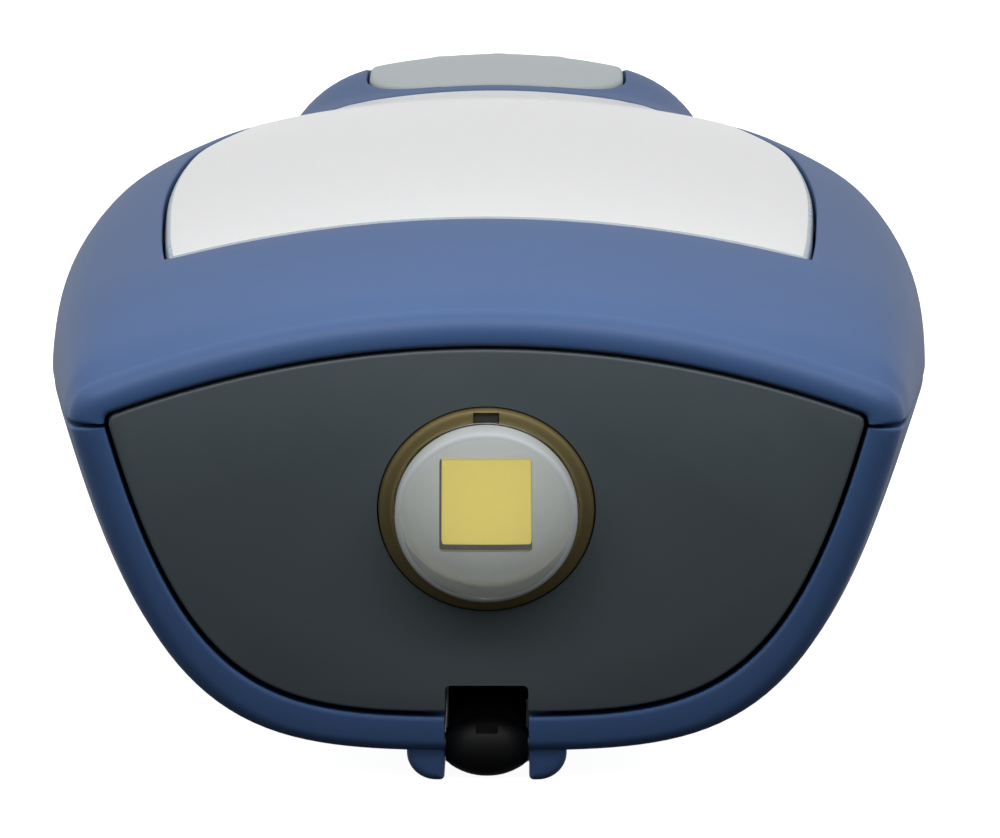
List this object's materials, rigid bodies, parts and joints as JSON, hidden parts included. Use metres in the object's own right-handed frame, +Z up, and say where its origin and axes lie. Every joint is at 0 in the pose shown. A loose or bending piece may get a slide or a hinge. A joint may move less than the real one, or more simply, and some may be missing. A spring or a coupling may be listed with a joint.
{
  "type": "rechargeable inspection work light",
  "caption": "Handheld rechargeable work light with a broad curved head, an opal light window, a spot lens in its end, a fold-out hook and magnetic back and tail.",
  "frame": {"origin": "middle of the resting surface under the lamp lying on its back", "axes": "+X across the lamp, +Y from the head end to the tail, +Z up out of the light window; the spot lens faces -Y"},
  "size_m": [0.0582, 0.1979, 0.0363],
  "materials": {
    "blue_shell": "satin fine-grained moulded nylon, mid blue",
    "plate_grey": "satin moulded plastic, dark grey",
    "opal": "translucent opal polycarbonate, smooth",
    "soft_grey": "soft-touch moulding, light grey",
    "black_nylon": "glass-filled black nylon, satin",
    "rubber": "black rubber, matte",
    "steel": "nickel-plated or zinc-plated steel",
    "bronze": "satin bronze-coloured metal",
    "clear_lens": "clear polycarbonate lens, polished",
    "white_plastic": "white reflector plastic",
    "phosphor": "yellow LED phosphor",
    "circuit_board": "green lacquered circuit board",
    "white_board": "white lacquered aluminium-cored board",
    "aluminium": "bare sheet",
    "cell_wrap": "shrink-wrapped steel can"
  },
  "bodies": {
    "case": {"upper_shell": "blue_shell", "lower_shell": "blue_shell", "case_screw_front_left": "steel", "case_screw_front_right": "steel", "case_screw_neck_left": "steel", "case_screw_neck_right": "steel", "case_screw_tail_left": "steel", "case_screw_tail_right": "steel", "light_window": "opal", "window_seal": "rubber", "light_tray": "white_plastic", "led_board": "white_board", "led_strip_left": "phosphor", "led_strip_right": "phosphor", "heat_spreader": "aluminium", "led_ribbon": "white_plastic", "end_plate": "plate_grey", "plate_gasket": "rubber", "spot_ring": "bronze", "spot_lens": "clear_lens", "spot_reflector": "white_plastic", "spot_phosphor": "phosphor", "spot_led": "white_plastic", "spot_board": "circuit_board", "spot_heat_sink": "aluminium", "spot_ribbon": "white_plastic", "handle_cover": "soft_grey", "button_bezel": "bronze", "charge_light_1": "opal", "charge_light_2": "opal", "charge_light_3": "opal", "tactile_switch": "black_nylon", "control_board": "circuit_board", "battery_cell": "cell_wrap", "positive_tab": "steel", "negative_tab": "steel", "hook_pin": "steel", "magnet_pad": "rubber", "back_magnet": "steel", "magnet_cup": "steel", "tail_plate": "plate_grey", "tail_gasket": "rubber", "tail_magnet": "steel", "charge_socket": "steel", "charge_board": "circuit_board", "charge_ribbon": "white_plastic"},
    "hook_body": {"hook": "black_nylon"},
    "button_body": {"power_button": "black_nylon"},
    "port_cover_body": {"port_cover": "rubber"}
  },
  "joints": [
    {"name": "hook_swing", "type": "hinge", "parent": "case", "child": "hook_body", "pos_m": [0, -0.09054, 0.0021], "axis": [-1, 0, 0], "range_deg": [0, 180]},
    {"name": "power_button_press", "type": "slide", "parent": "case", "child": "button_body", "axis": [0, 0, -1], "range_m": [0, 0.0008], "stiffness_N_per_m": 2500, "springref_m": -0.0004},
    {"name": "port_cover_swing", "type": "hinge", "parent": "case", "child": "port_cover_body", "pos_m": [0, 0.0983, 0.0174], "axis": [-1, 0, 0], "range_deg": [0, 100]}
  ]
}
